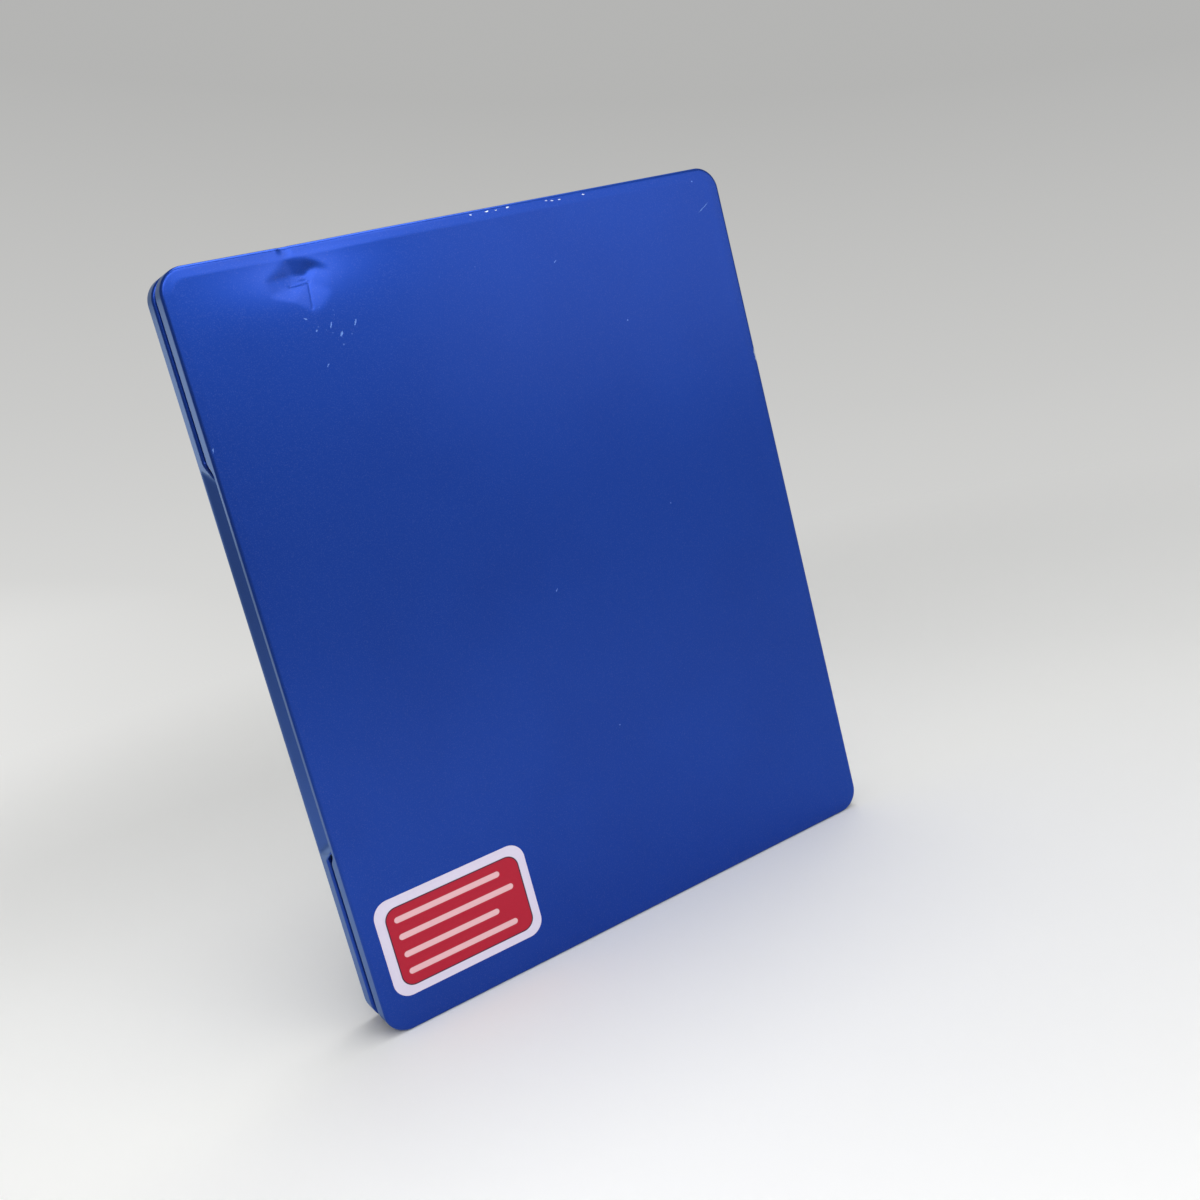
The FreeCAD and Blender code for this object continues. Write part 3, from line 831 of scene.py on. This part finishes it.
def outline_distance(tree, across, up, middle, half, radius):
    """Distance outside a rounded rectangle, negative inside it."""
    squares = []
    for place, centre, extent in zip((across, up), middle, half):
        out = calc(tree, "ABSOLUTE", calc(tree, "SUBTRACT", place, centre))
        out = calc(tree, "MAXIMUM", calc(tree, "SUBTRACT", out, extent - radius), 0.0)
        squares.append(calc(tree, "MULTIPLY", out, out))
    return calc(tree, "SUBTRACT", calc(tree, "SQRT", calc(tree, "ADD", *squares)), radius)


def bar_mask(tree, across, up):
    """Four plain bars, one above another, with uneven ends."""
    distances = []
    for z, length in BARS:
        half = (length / 2.0, BAR_HALF_HEIGHT)
        middle = (BAR_LEFT + length / 2.0, z)
        distances.append(outline_distance(tree, across, up, middle, half, BAR_HALF_HEIGHT))
    return ramp(tree, least(tree, distances), *BAR_EDGE)


def make_sticker_print():
    """Coated paper with a pale border, a red field and plain bars."""
    material, tree = new_material("sticker_print")
    place = millimetres(tree)
    parts = add(tree, "ShaderNodeSeparateXYZ", {"Vector": place})
    across = parts.outputs["X"]
    up = parts.outputs["Z"]
    fibre = noise(tree, place, *STICKER_FIBRE)
    field = outline_distance(tree, across, up, RED_MIDDLE, RED_HALF, RED_CORNER)
    bars = calc(tree, "MULTIPLY", bar_mask(tree, across, up), BAR_SHARE)
    red = blend(tree, fibre, RED, RED_DULL)
    colour = blend(tree, fibre, LILAC, LILAC_DULL)
    colour = blend(tree, ramp(tree, field, LINE_WIDTH, LINE_WIDTH - PRINT_EDGE), colour, RED_DARK)
    colour = blend(tree, ramp(tree, field, 0.0, -PRINT_EDGE), colour, red)
    colour = blend(tree, bars, colour, BAR_COLOUR)
    roughness = span(tree, fibre, *STICKER_ROUGHNESS)
    surface(tree, Base_Color=colour, Roughness=roughness, Normal=bump(tree, fibre, *STICKER_RELIEF),
            Specular_IOR_Level=STICKER_SHINE)
    return material


def dress_nodes(plastic, sticker):
    """Give the solids that stay their materials."""
    for node in ("back_tray", "front_tray", "spine_core"):
        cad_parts[node].data.materials[0] = plastic
    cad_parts["sticker"].data.materials[0] = sticker


def grey_ramp(tree, item, stops):
    """Greys at places along a range."""
    node = add(tree, "ShaderNodeValToRGB", {"Fac": item})
    elements = node.color_ramp.elements
    while len(elements) < len(stops):
        elements.new(PAPER_NEW_STOP)
    for element, (position, grey) in zip(elements, stops):
        element.position = position
        element.color = (grey, grey, grey * PAPER_BLUE_PART, 1.0)
    return node.outputs["Color"]


def painted_shade_share(tree, place):
    """How far the painted shade on the paper has deepened: upward behind the case, and with distance in
    front and to the left.
    """
    held = vector_calc(tree, "MINIMUM", place, PAPER_LIMIT)
    away = measure(tree, "DOT_PRODUCT", held, PAPER_FALL)
    # Painted shade deepens to the left and in front, and the metal mirrors it as a darker surround.
    turned = vector_calc(tree, "MULTIPLY", place, PAPER_TURN)
    past = vector_calc(tree, "SUBTRACT", turned, PAPER_NEAR)
    far = vector_calc(tree, "MAXIMUM", past, NO_DISTANCE)
    side = measure(tree, "DOT_PRODUCT", far, PAPER_FAR_FALL)
    whole = calc(tree, "ADD", away, side)
    inputs = {"Value": whole, "From Min": PAPER_REACH[0], "From Max": PAPER_REACH[1]}
    return add(tree, "ShaderNodeMapRange", inputs).outputs["Result"]


def make_paper():
    """Pale paper with painted shade: to camera, mirror and transmission rays it greys away from the case,
    and past half a metre it emits that grey as painted light instead of being lit.
    """
    material, tree = new_material("paper")
    place = add(tree, "ShaderNodeNewGeometry", {}).outputs["Position"]
    # Painted shade: greys that stand in for light falling off away from the case, darker to the left and
    # in front.
    painted_backdrop_shade = grey_ramp(tree, painted_shade_share(tree, place), PAINTED_SHADE_GREYS)
    rays = add(tree, "ShaderNodeLightPath", {}).outputs
    # Camera, mirror and transmission rays see the painted shade; light bounced off the paper uses its own
    # pale colour.
    seen = calc(tree, "MAXIMUM", rays["Is Camera Ray"], rays["Is Glossy Ray"])
    seen = calc(tree, "MAXIMUM", seen, rays["Is Transmission Ray"])
    colour = blend(tree, seen, PAPER, painted_backdrop_shade)
    lit = add(tree, "ShaderNodeBsdfDiffuse", {"Color": colour}).outputs["BSDF"]
    # Painted light: the far paper emits the painted grey, though it is no lamp.
    painted_glow = add(tree, "ShaderNodeEmission", {"Color": painted_backdrop_shade}).outputs["Emission"]
    reach = measure(tree, "LENGTH", place)
    share = calc(tree, "MULTIPLY", ramp(tree, reach, *PAPER_BLEND), seen)
    shader = add(tree, "ShaderNodeMixShader", {0: share, 1: lit, 2: painted_glow})
    add(tree, "ShaderNodeOutputMaterial", {"Surface": shader.outputs["Shader"]})
    return material


def stage_profile():
    """Distance from the middle and height along the sweep of paper."""
    profile = [(0.0, 0.0), (STAGE_RADIUS / 2.0, 0.0), (STAGE_RADIUS, 0.0)]
    for index in range(1, STAGE_BEND_STEPS + 1):
        angle = math.radians(QUARTER_TURN * index / STAGE_BEND_STEPS)
        radius = STAGE_RADIUS + STAGE_BEND * math.sin(angle)
        profile.append((radius, STAGE_BEND * (1.0 - math.cos(angle))))
    return profile + [(STAGE_RADIUS + STAGE_BEND, STAGE_HEIGHT)]


def make_stage():
    """Seamless round sweep of paper under and behind the case."""
    mesh = bmesh.new()
    points = [mesh.verts.new((radius, 0.0, z)) for radius, z in stage_profile()]
    edges = [mesh.edges.new(pair) for pair in zip(points, points[1:])]
    bmesh.ops.spin(mesh, geom=points + edges, cent=(0, 0, 0), axis=(0, 0, 1), angle=2.0 * math.pi,
                   steps=STAGE_STEPS, use_merge=True)
    bmesh.ops.remove_doubles(mesh, verts=mesh.verts, dist=STAGE_MERGE)
    bmesh.ops.recalc_face_normals(mesh, faces=mesh.faces)
    sweep = mesh_object("sweep", mesh, make_paper())


def make_light(name, place, size, radiance):
    """Soft box: a rectangle of even light, turned toward the case."""
    light = bpy.data.lights.new(name, "AREA")
    light.shape = "RECTANGLE"
    light.size, light.size_y = size
    light.energy = radiance * math.pi * size[0] * size[1]
    lamp = linked_object(name, light)
    lamp.location = place
    lamp.rotation_euler = (Vector(AIM) - Vector(place)).to_track_quat("-Z", "Y").to_euler()
    lamp.visible_camera = False


def make_lights():
    """Soft studio light from above, from the front and, weaker, from the right and from behind."""
    for lamp in LAMPS:
        make_light(*lamp)
    world = bpy.data.worlds.new("studio")
    world.use_nodes = True
    ground = world.node_tree.nodes["Background"]
    ground.inputs["Color"].default_value = (*WORLD_COLOUR, 1.0)
    ground.inputs["Strength"].default_value = WORLD_STRENGTH
    bpy.context.scene.world = world


def make_camera():
    """Camera where the photograph was taken."""
    data = bpy.data.cameras.new("camera")
    data.lens = CAMERA_LENS
    data.sensor_width = CAMERA_SENSOR
    data.shift_x, data.shift_y = CAMERA_SHIFT
    data.clip_start = CAMERA_NEAR
    camera = linked_object("camera", data)
    axes = (Vector(CAMERA_RIGHT), -Vector(CAMERA_DOWN), -Vector(CAMERA_AHEAD))
    turn = Matrix(axes).transposed().to_4x4()
    camera.matrix_world = Matrix.Translation(Vector(CAMERA_PLACE) * MM) @ turn
    bpy.context.scene.camera = camera


lacquer = make_lacquer("blue_lacquer", False)
worn_lacquer = make_lacquer("worn_blue_lacquer", True)
make_cover("back_pan", BACK, True, BACK_WALL_STEPS, dented, "back_half", "back_cover", worn_lacquer)
make_cover("front_pan", FRONT, False, FRONT_WALL_STEPS, untouched, "front_half", "front_cover", lacquer)
make_strip(lacquer)
dress_nodes(make_plastic(), make_sticker_print())
make_stage()
make_lights()
make_camera()
bpy.context.scene.view_settings.view_transform = "Standard"
